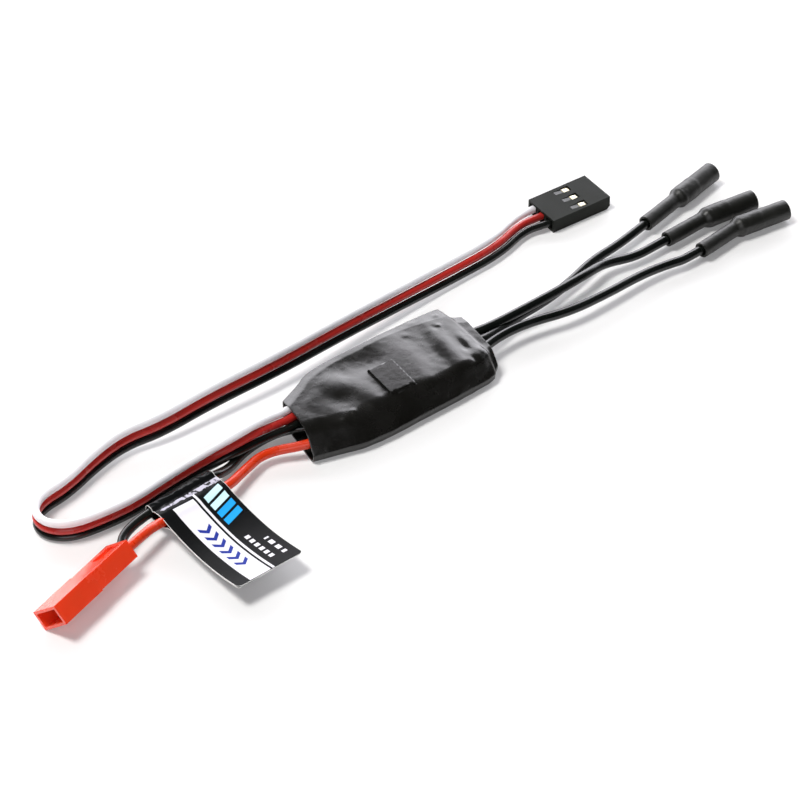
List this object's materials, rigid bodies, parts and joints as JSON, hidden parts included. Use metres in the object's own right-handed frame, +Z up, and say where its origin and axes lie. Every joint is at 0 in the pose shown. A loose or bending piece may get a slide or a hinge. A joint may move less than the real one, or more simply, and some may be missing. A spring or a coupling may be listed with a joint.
{
  "type": "brushless motor speed controller",
  "caption": "Small brushless motor speed controller in black shrink film, with signal ribbon, battery leads in a red plug, and sleeved motor leads.",
  "frame": {"origin": "under the middle of the shrink-film jacket, on the surface it lies on", "axes": "+X along the jacket from the battery end to the motor leads, +Z up, +Y to the side where the signal ribbon runs"},
  "size_m": [0.1677, 0.0499, 0.0067],
  "materials": {
    "shrink_film": "semi-gloss black shrink film",
    "circuit_board": "green solder mask",
    "chip_plastic": "black moulded epoxy",
    "tinned_metal": "tinned",
    "solder": "bright solder",
    "gold_plate": "gold plated",
    "capacitor_ceramic": "tan ceramic with tinned ends",
    "capacitor_tantalum": "yellow moulded case",
    "resistor_ceramic": "black film with tinned ends",
    "servo_wire_white": "satin cable plastic",
    "servo_wire_red": "satin cable plastic",
    "servo_wire_black": "satin cable plastic",
    "silicone_red": "satin silicone",
    "silicone_black": "satin silicone",
    "servo_plug_plastic": "fine matt moulding",
    "battery_plug_plastic": "gloss red nylon",
    "sleeve_film": "matt shrink sleeve",
    "label_film": "printed gloss sticker"
  },
  "bodies": {
    "root": {"heat_shrink_jacket": "shrink_film", "power_board": "circuit_board", "control_board": "circuit_board", "board_link_pins": "gold_plate", "microcontroller": "chip_plastic", "microcontroller_leads": "tinned_metal", "upper_transistors": "chip_plastic", "lower_transistors": "chip_plastic", "voltage_regulators": "chip_plastic", "input_capacitors": "capacitor_tantalum", "ceramic_capacitors": "capacitor_ceramic", "gate_resistors": "resistor_ceramic", "resonator": "tinned_metal", "signal_solder_joints": "solder", "battery_solder_joints": "solder", "motor_solder_joints": "solder", "servo_wire_signal": "servo_wire_white", "servo_wire_positive": "servo_wire_red", "servo_wire_ground": "servo_wire_black", "servo_plug_housing": "servo_plug_plastic", "servo_contact_signal": "gold_plate", "servo_contact_positive": "gold_plate", "servo_contact_ground": "gold_plate", "power_wire_positive": "silicone_red", "power_wire_negative": "silicone_black", "battery_plug_housing": "battery_plug_plastic", "battery_pin_positive": "gold_plate", "battery_pin_negative": "gold_plate", "motor_wire_a": "silicone_black", "motor_wire_b": "silicone_black", "motor_wire_c": "silicone_black", "bullet_socket_a": "gold_plate", "bullet_socket_b": "gold_plate", "bullet_socket_c": "gold_plate", "bullet_sleeve_a": "sleeve_film", "bullet_sleeve_b": "sleeve_film", "bullet_sleeve_c": "sleeve_film", "label_flag": "label_film"}
  },
  "joints": []
}
